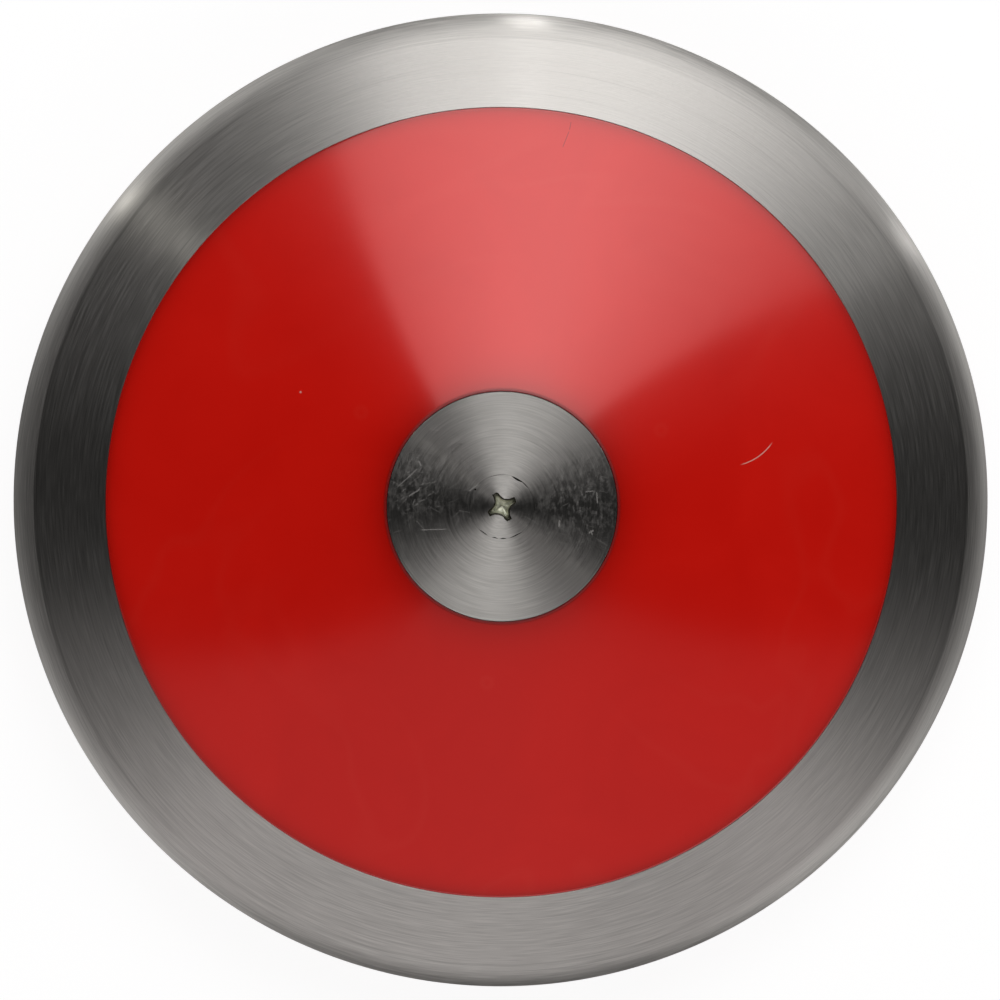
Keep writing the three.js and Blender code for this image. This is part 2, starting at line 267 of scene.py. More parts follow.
def make_rim():
    rim = turned_object("steel_rim", rim_outline(), RIM_STEPS)
    cut = FLANGE_HEIGHT + OVERRUN
    combine(rim, dowel_holes(-cut, cut), "DIFFERENCE")
    return rim


# Side plates


def side_lip(lip):
    """The outer edge of a side plate's face: gently crowned, then rounded off to an upright lip."""
    start = lip - SIDE_CROWN_WIDTH
    crown_x = start - SIDE_CROWN_RADIUS * math.sin(CONE)
    crown_y = face_height(start) - SIDE_CROWN_RADIUS * math.cos(CONE)
    reach = SIDE_CROWN_RADIUS - SIDE_LIP_ROUND
    end = math.acos((lip - SIDE_LIP_ROUND - crown_x) / reach)
    corner = (crown_x + reach * math.cos(end), crown_y + reach * math.sin(end))
    end = math.degrees(end)
    return [
        on_face(start - SUPPORT),
        *arc((crown_x, crown_y), SIDE_CROWN_RADIUS, FACE_NORMAL, end, FILLET_STEPS),
        *arc(corner, SIDE_LIP_ROUND, end, 0, ROUND_STEPS)[1:],
    ]


def side_mouth(mouth):
    """The inner edge of a side plate's face, rounded off towards the centre plate's seat."""
    middle = mouth + SIDE_MOUTH_ROUND
    centre = (middle, face_height(middle) - SIDE_MOUTH_ROUND / math.cos(CONE))
    return [
        *arc(centre, SIDE_MOUTH_ROUND, 180, FACE_NORMAL, FILLET_STEPS),
        on_face(middle + SIDE_MOUTH_ROUND * math.sin(CONE) + SUPPORT),
    ]


def side_plate_outline():
    mouth = PLATE_RADIUS + SIDE_MOUTH_GAP
    lip = OUTER - RIM_WIDTH - SIDE_LIP_GAP
    lip_foot = face_height(lip) - SIDE_LIP_HEIGHT
    skirt_foot = FLANGE_HEIGHT + GAP
    skirt_inner = SIDE_RADIUS - SKIRT_WIDTH
    seal_cut = 2 * SEAL_CORD_RADIUS + math.sqrt(2) * (SEAL_CORD_RADIUS + GAP)
    floor_top = PLATE_FOOT - GAP
    floor_foot = floor_top - HUB_FLOOR
    hub_wall = PLATE_RADIUS + GAP + HUB_WALL
    tube_inner = SLEEVE_RADIUS + GAP
    tube_outer = tube_inner + HUB_TUBE_WALL
    tube_foot = CUSHION_TOP + GAP
    skirt_fillet = (skirt_inner - UNDER_FILLET, underside(skirt_inner) - UNDER_FILLET)
    hub_fillet = (hub_wall + UNDER_FILLET, underside(hub_wall) - UNDER_FILLET)
    return [
        (mouth, floor_top),
        *side_mouth(mouth),
        *side_lip(lip),
        (lip, lip_foot),
        (SIDE_RADIUS, lip_foot - GAP),
        (SIDE_RADIUS, skirt_foot + seal_cut),
        (SIDE_RADIUS - seal_cut, skirt_foot),
        (skirt_inner, skirt_foot),
        *arc(skirt_fillet, UNDER_FILLET, 0, FACE_NORMAL, FILLET_STEPS),
        *arc(hub_fillet, UNDER_FILLET, FACE_NORMAL, 180, FILLET_STEPS),
        (hub_wall, floor_foot),
        (tube_outer, floor_foot),
        (tube_outer, tube_foot),
        (tube_inner, tube_foot),
        (tube_inner, floor_top),
    ]


def rib_ring():
    """The ribs under the shell, from the hub's wall to the skirt, half a step round from the x axis."""
    inner = PLATE_RADIUS + GAP + HUB_WALL - OVERRUN
    outer = SIDE_RADIUS - SKIRT_WIDTH + OVERRUN
    corners = [
        (inner, underside(inner) + OVERRUN),
        (inner, underside(inner) - RIB_DEPTH),
        (outer, underside(outer) - RIB_DEPTH),
        (outer, underside(outer) + OVERRUN),
    ]
    bm = bmesh.new()
    for k in range(RIB_COUNT):
        turn = Matrix.Rotation(2 * math.pi * (k + 0.5) / RIB_COUNT, 3, "Z")
        sides = []
        for offset in (-RIB_THICKNESS / 2, RIB_THICKNESS / 2):
            sides.append([bm.verts.new(turn @ Vector((r, offset, MID + h))) for r, h in corners])
        bm.faces.new(sides[0])
        bm.faces.new(sides[1][::-1])
        for n in range(len(corners)):
            m = (n + 1) % len(corners)
            bm.faces.new([sides[0][n], sides[1][n], sides[1][m], sides[0][m]])
    return new_object("ribs", bm)


def make_side_plate():
    plate = turned_object("upper_red_side_plate", side_plate_outline(), RIM_STEPS)
    combine(plate, rib_ring(), "UNION")
    combine(plate, dowel_holes(FLANGE_HEIGHT + GAP - OVERRUN, DOWEL_TOP + GAP), "DIFFERENCE")
    return plate


# Centre plates


def make_centre_plate():
    sink = HEAD_RADIUS + SINK_GAP
    hole = SCREW_RADIUS + GAP
    outline = [
        (sink, HALF),
        (PLATE_RADIUS - PLATE_EDGE_BREAK, HALF),
        (PLATE_RADIUS, HALF - PLATE_EDGE_BREAK),
        (PLATE_RADIUS, PLATE_FOOT),
        (hole, PLATE_FOOT),
        (hole, HALF - (sink - hole)),
    ]
    return turned_object("upper_steel_centre_plate", outline, HUB_STEPS)


# Centre screws

# Stretches where the turned-down head shows its outline: middle and half width in degrees, depth in metres
OUTLINE_STRETCHES = (
    (61, 13, 0.42 * MM),
    (45, 9, 0.14 * MM),
    (98, 16, 0.08 * MM),
    (234, 10, 0.20 * MM),
    (257, 6, 0.22 * MM),
    (272, 6, 0.22 * MM),
    (296, 13, 0.20 * MM),
)
# Widths of the thread's crest and of each flank, as shares of its pitch
CREST_SHARE = 0.125
FLANK_SHARE = 0.3125
# Rows over which the thread runs out at each end
THREAD_FADE_ROWS = 4
RECESS_WINGS = 4
RECESS_SPAN = 6.8 * MM
RECESS_WING_WIDTH = 1.45 * MM
RECESS_CORE = 3.8 * MM
RECESS_DEPTH = 2.2 * MM
RECESS_TIP = 0.4 * MM
RECESS_TORN_DEPTH = 0.34 * MM
RECESS_TORN_WIDTH = 0.36 * MM
RECESS_RAGGED = 0.09 * MM
# Levels of the mouth's rim and of the middle, as shares of the depth; widths at the middle and the floor
RECESS_RIM_SHARE = 0.01
RECESS_MIDDLE_SHARE = 0.5
RECESS_MIDDLE_WIDTH_SHARE = 0.96
RECESS_FLOOR_WIDTH_SHARE = 0.76
# Points round each hollow between two wings, and across each wing's end
RECESS_HOLLOW_POINTS = 12
RECESS_END_POINTS = 5
RECESS_SEED = 11
# Turns of the two screws' recesses, in degrees
UPPER_RECESS_TURN = 27
LOWER_RECESS_TURN = -17


def outline_depth(angle):
    """How far the head's edge is cut in at an angle."""
    depth = 0
    for middle, half_width, most in OUTLINE_STRETCHES:
        off = abs((math.degrees(angle) - middle + 180) % 360 - 180)
        if off < half_width:
            depth = max(depth, most * math.cos(math.pi / 2 * off / half_width))
    return depth


def thread_share(height, angle):
    """Where a point lies on the right-hand thread: 1 on the crest, 0 at the root."""
    turn = (height / THREAD_PITCH - angle / (2 * math.pi)) % 1
    if turn < CREST_SHARE:
        return 1
    if turn < CREST_SHARE + FLANK_SHARE:
        return (CREST_SHARE + FLANK_SHARE - turn) / FLANK_SHARE
    return max(0, (turn - (1 - FLANK_SHARE)) / FLANK_SHARE)


def recess_outline(turn):
    """The cross seen from above: its mouth as a ragged loop, and a smooth loop a little inside it."""
    end, side = RECESS_SPAN / 2, RECESS_WING_WIDTH / 2
    hollow = RECESS_CORE / 2 * math.sqrt(2) - (end + side) / 2
    rng = random.Random(RECESS_SEED)
    loop = []
    for wing in range(RECESS_WINGS):
        spin = Matrix.Rotation(math.radians(360 / RECESS_WINGS * wing + turn), 2)
        start, bend, finish = Vector((end, side)), Vector((hollow, hollow)), Vector((side, end))
        for k in range(RECESS_HOLLOW_POINTS):
            t = k / RECESS_HOLLOW_POINTS
            loop.append(spin @ ((1 - t) ** 2 * start + 2 * t * (1 - t) * bend + t**2 * finish))
        for k in range(1, RECESS_END_POINTS):
            loop.append(spin @ Vector((side - RECESS_WING_WIDTH * k / RECESS_END_POINTS, end)))
    inside = []
    for before, p, after in zip(loop[-1:] + loop[:-1], loop, loop[1:] + loop[:1]):
        along = (after - before).normalized()
        inside.append(p + Vector((-along.y, along.x)) * RECESS_TORN_WIDTH)
    mouth = [p * (1 + rng.uniform(-1, 1) * RECESS_RAGGED / p.length) for p in loop]
    return mouth, inside


def recess_tool(turn):
    """The body that cuts the recess: a torn mouth, tapering walls and a pointed floor."""
    mouth, inside = recess_outline(turn)
    levels = (
        (HALF + OVERRUN, mouth, 1.0),
        (HALF - RECESS_RIM_SHARE * RECESS_DEPTH, mouth, 1.0),
        (HALF - RECESS_TORN_DEPTH, inside, 1.0),
        (HALF - RECESS_MIDDLE_SHARE * RECESS_DEPTH, inside, RECESS_MIDDLE_WIDTH_SHARE),
        (HALF - RECESS_DEPTH, inside, RECESS_FLOOR_WIDTH_SHARE),
    )
    bm = bmesh.new()
    rings = []
    for height, loop, width in levels:
        rings.append([bm.verts.new((*(p * width), MID + height)) for p in loop])
    count = len(mouth)
    for upper, lower in zip(rings, rings[1:]):
        for n in range(count):
            m = (n + 1) % count
            bm.faces.new([upper[n], upper[m], lower[m], lower[n]])
    bm.faces.new(rings[0])
    tip = bm.verts.new((0, 0, MID + HALF - RECESS_DEPTH - RECESS_TIP))
    for n in range(count):
        bm.faces.new([rings[-1][n], rings[-1][(n + 1) % count], tip])
    return new_object("recess", bm)


def make_screw(name, recess_turn):
    head_foot = HALF - (HEAD_RADIUS - SCREW_RADIUS)
    neck_foot = head_foot - SCREW_NECK
    root = SCREW_RADIUS - THREAD_DEPTH
    thread_foot = SCREW_FOOT + SCREW_POINT
    head_edge = (HEAD_RADIUS, HALF)
    head = [(0, HALF), head_edge, (SCREW_RADIUS, head_foot), (SCREW_RADIUS, neck_foot + THREAD_DEPTH)]
    rows = round((neck_foot - thread_foot) / (THREAD_PITCH / ROWS_PER_PITCH))
    thread = [(root, neck_foot + (thread_foot - neck_foot) * k / rows) for k in range(rows + 1)]
    point = [(root - SCREW_POINT / 2, SCREW_FOOT), (0, SCREW_FOOT)]
    outline = head + thread + point

    def relief(index, angle):
        """Cuts the head's edge in where it shows its outline, and raises the thread from its root."""
        if outline[index] == head_edge:
            return -outline_depth(angle)
        row = index - len(head)
        if row < 0 or row > rows:
            return 0
        fade = min(1, row / THREAD_FADE_ROWS, (rows - row) / THREAD_FADE_ROWS)
        return THREAD_DEPTH * thread_share(outline[index][1], angle) * fade

    screw = turned_object(name, outline, HUB_STEPS, relief)
    combine(screw, recess_tool(recess_turn), "DIFFERENCE")
    return screw


# Material helpers

# A noise's values mostly lie in this range
NOISE_RANGE = (0.3, 0.7)
# A scratch keeps its full strength to these shares of its half width and half length
SCRATCH_WIDTH_SHARE = 0.4
SCRATCH_LENGTH_SHARE = 0.7
# Short strokes: the least length as a share of the spread of lengths, and the share at full strength
STROKE_LEAST_SHARE = 0.4
STROKE_LENGTH_SHARE = 0.3


class Nodes:
    """Short calls for the nodes of a material, a light or the world."""

    def __init__(self, tree):
        self.tree = tree

    def node(self, kind, inputs=None, **settings):
        node = self.tree.nodes.new(kind)
        for key, value in settings.items():
            setattr(node, key, value)
        for key, value in (inputs or {}).items():
            self.join(value, node.inputs[key])
        return node

    def join(self, value, socket):
        if isinstance(value, bpy.types.NodeSocket):
            self.tree.links.new(value, socket)
        else:
            socket.default_value = value

    def math(self, operation, first, second=0.0, third=0.0, clamp=False):
        values = {0: first, 1: second, 2: third}
        return self.node("ShaderNodeMath", values, operation=operation, use_clamp=clamp).outputs[0]

    def off(self, value, centre):
        """How far a value lies from a centre, to either side."""
        return self.math("ABSOLUTE", self.math("SUBTRACT", value, centre))

    def vector(self, operation, first, second=(0, 0, 0), output="Vector"):
        node = self.node("ShaderNodeVectorMath", {0: first, 1: second}, operation=operation)
        return node.outputs[output]

    def scaled(self, vector, factor):
        node = self.node("ShaderNodeVectorMath", {0: vector, "Scale": factor}, operation="SCALE")
        return node.outputs[0]

    def span(self, value, low, high, new_low=0.0, new_high=1.0, smooth=False):
        """The value, mapped from one range to another and held inside it."""
        inputs = {"Value": value, "From Min": low, "From Max": high, "To Min": new_low, "To Max": new_high}
        kind = "SMOOTHSTEP" if smooth else "LINEAR"
        return self.node("ShaderNodeMapRange", inputs, interpolation_type=kind, clamp=True).outputs[0]

    def noise(self, place, scale, detail=2.0, roughness=0.5, distortion=0.0):
        inputs = {
            "Vector": place,
            "Scale": scale,
            "Detail": detail,
            "Roughness": roughness,
            "Distortion": distortion,
        }
        return self.node("ShaderNodeTexNoise", inputs).outputs["Fac"]

    def mix(self, share, first, second):
        node = self.node("ShaderNodeMix", data_type="RGBA")
        self.join(share, node.inputs["Factor"])
        self.join(first, node.inputs["A"])
        self.join(second, node.inputs["B"])
        return node.outputs["Result"]


class Shader(Nodes):
    """A material's nodes, with the place on the piece and its distance and direction from the axis."""

    def __init__(self, name):
        self.material = bpy.data.materials.new(name)
        self.material.use_nodes = True
        super().__init__(self.material.node_tree)
        self.surface = self.tree.nodes["Principled BSDF"]
        self.place = self.node("ShaderNodeTexCoord").outputs["Object"]
        parts = self.node("ShaderNodeSeparateXYZ", {"Vector": self.place})
        self.x, self.y, self.z = parts.outputs
        flat = self.node("ShaderNodeCombineXYZ", {"X": self.x, "Y": self.y})
        self.radius = self.vector("LENGTH", flat.outputs[0], output="Value")
        self.direction = self.vector("NORMALIZE", flat.outputs[0])

    def rings(self, spacing, length, detail=2.0):
        """Noise drawn out into arcs round the axis, with their spacing, and their length at the rim."""
        around = self.scaled(self.direction, OUTER / length)
        across = self.math("DIVIDE", self.radius, spacing)
        place = self.node("ShaderNodeCombineXYZ", {"Z": across}).outputs[0]
        return self.noise(self.vector("ADD", around, place), 1.0, detail)

    def away_from(self, centre):
        """Distances along x and y from a point of the face."""
        return self.math("SUBTRACT", self.x, centre[0]), self.math("SUBTRACT", self.y, centre[1])

    def distance(self, centre):
        x, y = self.away_from(centre)
        return self.math("SQRT", self.math("ADD", self.math("MULTIPLY", x, x), self.math("MULTIPLY", y, y)))

    def patch(self, centre, inner, outer):
        """1 within the inner distance of a point, fading to 0 at the outer one."""
        return self.span(self.distance(centre), inner, outer, 1.0, 0.0, smooth=True)

    def scratch(self, start, end, half_width, sag=0.0):
        """1 along a scratch from start to end, which may sag to one side like a bow."""
        middle = ((start[0] + end[0]) / 2, (start[1] + end[1]) / 2)
        half_length = math.dist(start, end) / 2
        turn = math.atan2(end[1] - start[1], end[0] - start[0])
        x, y = self.away_from(middle)
        along = self.math("MULTIPLY_ADD", x, math.cos(turn), self.math("MULTIPLY", y, math.sin(turn)))
        across = self.math("MULTIPLY_ADD", y, math.cos(turn), self.math("MULTIPLY", x, -math.sin(turn)))
        share = self.math("DIVIDE", along, half_length)
        bow = self.math("MULTIPLY_ADD", self.math("MULTIPLY", share, share), -sag, sag)
        off = self.math("ABSOLUTE", self.math("ADD", across, bow))
        body = self.span(off, half_width * SCRATCH_WIDTH_SHARE, half_width, 1.0, 0.0, smooth=True)
        along_share = self.math("ABSOLUTE", share)
        ends = self.span(along_share, SCRATCH_LENGTH_SHARE, 1.0, 1.0, 0.0, smooth=True)
        return self.math("MULTIPLY", body, ends)

    def scratches(self, marks):
        return self.add_all([self.scratch(*mark) for mark in marks])

    def strokes(self, cell, turn, turn_spread, half_length, half_width, keep):
        """1 along short scratches, one in each kept cell, all lying roughly along one direction."""
        inputs = {"Vector": self.place, "Scale": 1 / cell}
        cells = self.node("ShaderNodeTexVoronoi", inputs, voronoi_dimensions="2D")
        offset = self.vector("SUBTRACT", self.place, cells.outputs["Position"])
        chance = self.node("ShaderNodeSeparateColor", {0: cells.outputs["Color"]})
        angle = self.math("MULTIPLY_ADD", chance.outputs[0], turn_spread, turn - turn_spread / 2)
        rotate = self.node("ShaderNodeVectorRotate", {"Vector": offset}, rotation_type="Z_AXIS")
        self.join(self.math("MULTIPLY", angle, -1.0), rotate.inputs["Angle"])
        local = self.node("ShaderNodeSeparateXYZ", {0: rotate.outputs[0]})
        least = half_length * STROKE_LEAST_SHARE
        length = self.math("MULTIPLY_ADD", chance.outputs[1], half_length, least)
        share = self.math("DIVIDE", self.math("ABSOLUTE", local.outputs[0]), length)
        ends = self.span(share, STROKE_LENGTH_SHARE, 1.0, 1.0, 0.0, smooth=True)
        off = self.math("ABSOLUTE", local.outputs[1])
        body = self.span(off, 0.0, half_width, 1.0, 0.0, smooth=True)
        kept = self.span(chance.outputs[2], 0.0, keep, 1.0, 0.0)
        return self.math("MULTIPLY", self.math("MULTIPLY", ends, body), kept)

    def upper_only(self, mask):
        """A mark that only the upper side has."""
        return self.math("MULTIPLY", mask, self.math("GREATER_THAN", self.z, MID))

    def add_all(self, masks):
        total = masks[0]
        for mask in masks[1:]:
            total = self.math("ADD", total, mask, clamp=True)
        return total

    def bump(self, height, distance):
        inputs = {"Height": height, "Distance": distance, "Strength": 1.0}
        return self.node("ShaderNodeBump", inputs).outputs[0]

    def set(self, **inputs):
        for key, value in inputs.items():
            self.join(value, self.surface.inputs[key.replace("_", " ")])


def rgb(*channels):
    return (*channels, 1.0)


def darker(color, factor):
    return rgb(*[channel * factor for channel in color[:3]])


# Turned steel

RIM_STEEL = rgb(0.60, 0.578, 0.55)
PLATE_STEEL = rgb(0.53, 0.512, 0.485)
STEEL_ROUGHNESS = 0.31
SMOOTH_SHARE = 0.92
ROUGH_SHARE = 1.16
MARK_SPACING = 0.26 * MM
MARK_DEPTH = 0.003 * MM
RIM_MARK_LENGTH = 10 * MM
PLATE_MARK_LENGTH = 40 * MM
RIM_CONTRAST = 0.14
PLATE_CONTRAST = 0.11
# Duller marks: the noise values between which they deepen, and the metallic share left in them
DULL_RANGE = (0.5, 0.75)
DULL_METALLIC = 0.975
# Broad bands: spacing and length as shares of a fine mark's, and their part in the tone
BAND_SPACING_SHARE = 3
BAND_LENGTH_SHARE = 4
BAND_TONE = 0.06
# Single grooves: spacing and length as shares of a fine mark's, their noise values and their darkness
GROOVE_SPACING_SHARE = 1.2
GROOVE_LENGTH_SHARE = 6
GROOVE_RANGE = (0.62, 0.72)
GROOVE_DARKNESS = 0.12
# Regular marks of the centre plates: their spacing, how far they wander in radians, and their strength
PLATE_FEED = 0.8 * MM
FEED_WANDER = 6.0
FEED_STRENGTH = 0.022
# The rim's round edge: where its finish sets in, and the faint line of painted shade before it
EDGE_FADE = 0.3 * MM
EDGE_METALLIC_LOSS = 0.1
EDGE_ROUGHNESS_GAIN = 0.03
EDGE_PAINTED_SHADE_INSET = 0.4 * MM
EDGE_PAINTED_SHADE_WIDTH = (0.1 * MM, 0.35 * MM)
EDGE_PAINTED_SHADE_TONE = 0.88


def turned_steel(s, color, mark_length, contrast, feed=None):
    """Steel turned on a lathe: it spreads its highlights across the rings and keeps them narrow along them.

    Returns its colour, roughness and metallic share. The feed is the spacing of regular tool marks.
    """
    fine = s.rings(MARK_SPACING, mark_length)
    band = s.rings(MARK_SPACING * BAND_SPACING_SHARE, mark_length * BAND_LENGTH_SHARE)
    tone = s.math("MULTIPLY_ADD", fine, 1 - BAND_TONE, s.math("MULTIPLY", band, BAND_TONE))
    if feed:
        wander = s.math("MULTIPLY", band, FEED_WANDER)
        wave = s.math("SINE", s.math("MULTIPLY_ADD", s.radius, 2 * math.pi / feed, wander))
        tone = s.math("MULTIPLY_ADD", wave, FEED_STRENGTH, tone)
    single = s.rings(MARK_SPACING * GROOVE_SPACING_SHARE, mark_length * GROOVE_LENGTH_SHARE, detail=1.0)
    groove = s.math("MULTIPLY_ADD", s.span(single, *GROOVE_RANGE), -GROOVE_DARKNESS, 1.0)
    light = s.math("MULTIPLY", s.span(tone, *NOISE_RANGE, 1 - contrast, 1 + contrast), groove)
    s.set(Anisotropic=1.0, Anisotropic_Rotation=0.25)
    s.set(Tangent=s.node("ShaderNodeTangent", direction_type="RADIAL", axis="Z").outputs[0])
    s.set(Normal=s.bump(tone, MARK_DEPTH))
    smoothest, roughest = STEEL_ROUGHNESS * SMOOTH_SHARE, STEEL_ROUGHNESS * ROUGH_SHARE
    roughness = s.span(tone, *NOISE_RANGE, smoothest, roughest)
    metallic = s.span(fine, *DULL_RANGE, 1.0, DULL_METALLIC)
    return s.scaled(color[:3], light), roughness, metallic


def rim_steel():
    """The round edge starts at a faint line of painted shade and has a duller finish than the cone."""
    s = Shader("turned_rim_steel")
    color, roughness, metallic = turned_steel(s, RIM_STEEL, RIM_MARK_LENGTH, RIM_CONTRAST)
    edge = s.span(s.radius, RIM_SHOULDER, RIM_SHOULDER + EDGE_FADE, smooth=True)
    # Painted shade: a faint dark line on the cone just inside the shoulder
    painted_shoulder_shade = s.span(s.off(s.radius, RIM_SHOULDER - EDGE_PAINTED_SHADE_INSET), *EDGE_PAINTED_SHADE_WIDTH, EDGE_PAINTED_SHADE_TONE, 1.0)
    s.set(Base_Color=s.scaled(color, painted_shoulder_shade))
    s.set(Metallic=s.math("MULTIPLY_ADD", edge, -EDGE_METALLIC_LOSS, metallic))
    s.set(Roughness=s.math("MULTIPLY_ADD", edge, EDGE_ROUGHNESS_GAIN, roughness))
    return s.material


# Worn steel of the centre plates and screws

# Worn patches: middle, and the distances from it where the full wear, the strokes and the haze end
WORN_LEFT = ((-19.5 * MM, 5.0 * MM), 2 * MM, 8 * MM, 12 * MM)
WORN_RIGHT = ((17.0 * MM, 2.0 * MM), 4 * MM, 12 * MM, 15 * MM)
# Short strokes: spacing, direction and its spread in radians, spread of lengths, half width, share kept
LEFT_STROKES = (1.5 * MM, 0.75, 0.9, 0.9 * MM, 0.20 * MM, 0.9)
RIGHT_STROKES = (1.8 * MM, 1.5, 0.9, 0.9 * MM, 0.34 * MM, 0.8)
THIN_STROKES = (3.1 * MM, 0.3, 2.6, 2.2 * MM, 0.12 * MM, 0.7)
RIGHT_STRENGTH = 0.5
THIN_STRENGTH = 0.5
# Grey haze: its fineness, its stretch along y, its noise values, and its strength in a patch and elsewhere
HAZE_SCALE = 900.0
HAZE_STRETCH = (1.0, 0.6, 1.0)
HAZE_RANGE = (0.46, 0.72)
HAZE_IN_PATCH = 0.33
HAZE_ELSEWHERE = 0.12
# Single scratches: start, end, half width
PLATE_SCRATCHES = (
    ((-18.4 * MM, -5.15 * MM), (-11.9 * MM, -4.95 * MM), 0.13 * MM),
    ((-18.6 * MM, 10.3 * MM), (-17.9 * MM, 9.0 * MM), 0.19 * MM),
    ((-23.4 * MM, 4.2 * MM), (-18.6 * MM, 8.6 * MM), 0.12 * MM),
    ((-20.8 * MM, 2.3 * MM), (-18.2 * MM, 3.9 * MM), 0.17 * MM),
    ((12.6 * MM, -4.6 * MM), (12.8 * MM, -2.9 * MM), 0.26 * MM),
    ((19.2 * MM, -5.9 * MM), (20.4 * MM, -5.2 * MM), 0.22 * MM),
    ((19.7 * MM, -5.2 * MM), (20.1 * MM, -6.4 * MM), 0.16 * MM),
    ((18.4 * MM, 3.3 * MM), (20.4 * MM, 3.5 * MM), 0.16 * MM),
    ((21.0 * MM, 3.4 * MM), (21.2 * MM, 0.6 * MM), 0.16 * MM),
    ((-7.6 * MM, 3.4 * MM), (-5.2 * MM, 5.0 * MM), 0.14 * MM),
)
# A small pit: its middle, and the distances where its full darkness and all of it end
PLATE_PIT = ((-5.95 * MM, 3.85 * MM), 0.1 * MM, 0.3 * MM)
DIRT = rgb(0.04, 0.035, 0.03)
# Depths below the outer face between which the turned finish ends
FACE_SKIN = (0.01 * MM, 0.03 * MM)
# The countersink and what lies below it are within this distance of the axis
SINK_REACH = 9 * MM
# The seam round the screw's head: distances from it where its darkness fades, and its tone
SEAM_WIDTH = (0.05 * MM, 0.18 * MM)
SEAM_TONE = 0.86
WORN_METALLIC = 0.55
WORN_ROUGHNESS_GAIN = 0.2

# Plating in the screw's recess and on its thread, with dark torn metal and painted shade below the recess's
# mouth, and painted shade in its wings' ends and at its middle
ZINC = rgb(0.88, 0.89, 0.72)
ZINC_DARK_SHARE = 0.6
ZINC_GRAIN_SCALE = 1400.0
ZINC_GRAIN_RANGE = (0.35, 0.65)
ZINC_METALLIC = 0.6
# Dark torn metal, darkened further as painted shade on the mouth's steep walls
BURR_AND_PAINTED_SHADE = rgb(0.03, 0.026, 0.016)
TORN_FOOT = (0.40 * MM, 0.50 * MM)
TORN_RAGGED = 0.2 * MM
# Painted shade in the wings' ends and at the recess's middle: radii where it sets in, and its darkness
WING_END = (2.2 * MM, 2.9 * MM)
WING_END_PAINTED_SHADE = 0.85
RECESS_PIT = (0.2 * MM, 0.6 * MM)
RECESS_PIT_PAINTED_SHADE = 0.35
# Depths below the outer face between which the dark torn metal and painted shade end
DARK_FOOT = (4.0 * MM, 4.5 * MM)


def worn_patch(s, patch, strokes):
    """The short strokes of a worn patch, and where its haze lies."""
    middle, full, strokes_end, haze_end = patch
    marks = s.math("MULTIPLY", s.strokes(*strokes), s.patch(middle, full, strokes_end))
    return marks, s.patch(middle, full, haze_end)


def plate_wear(s):
    """Wear of the centre plate: single scratches, short strokes in two patches, and a grey haze."""
    left, left_haze = worn_patch(s, WORN_LEFT, LEFT_STROKES)
    right, right_haze = worn_patch(s, WORN_RIGHT, RIGHT_STROKES)
    right = s.math("MULTIPLY", right, RIGHT_STRENGTH)
    thin = s.math("MULTIPLY", s.strokes(*THIN_STROKES), THIN_STRENGTH)
    single = s.upper_only(s.scratches(PLATE_SCRATCHES))
    upright = s.vector("MULTIPLY", s.place, HAZE_STRETCH)
    haze = s.span(s.noise(upright, HAZE_SCALE, detail=4.0, roughness=0.7), *HAZE_RANGE)
    where = s.math("ADD", left_haze, right_haze)
    haze = s.math("MULTIPLY", haze, s.math("MULTIPLY_ADD", where, HAZE_IN_PATCH, HAZE_ELSEWHERE))
    return s.add_all([left, right, thin, single, haze])


def face_depth(s):
    """How far a point of the centre plates or screws lies below the outer face."""
    return s.math("SUBTRACT", HALF, s.off(s.z, MID))


def worn_turned_steel(s):
    """Turned and scuffed steel of the centre plates and screw heads: colour, roughness, metallic share."""
    color, roughness, metallic = turned_steel(s, PLATE_STEEL, PLATE_MARK_LENGTH, PLATE_CONTRAST, PLATE_FEED)
    wear = plate_wear(s)
    pit = s.upper_only(s.patch(*PLATE_PIT))
    sunk = s.math("MULTIPLY", s.span(face_depth(s), *FACE_SKIN), s.math("LESS_THAN", s.radius, SINK_REACH))
    color = s.mix(s.math("MAXIMUM", pit, sunk), color, DIRT)
    color = s.scaled(color, s.span(s.off(s.radius, HEAD_RADIUS), *SEAM_WIDTH, SEAM_TONE, 1.0))
    metallic = s.math("MULTIPLY", metallic, s.span(wear, 0.0, 1.0, 1.0, WORN_METALLIC))
    return color, s.math("MULTIPLY_ADD", wear, WORN_ROUGHNESS_GAIN, roughness), metallic


def plate_steel():
    s = Shader("turned_plate_steel")
    color, roughness, metallic = worn_turned_steel(s)
    s.set(Base_Color=color, Metallic=metallic, Roughness=roughness)
    return s.material


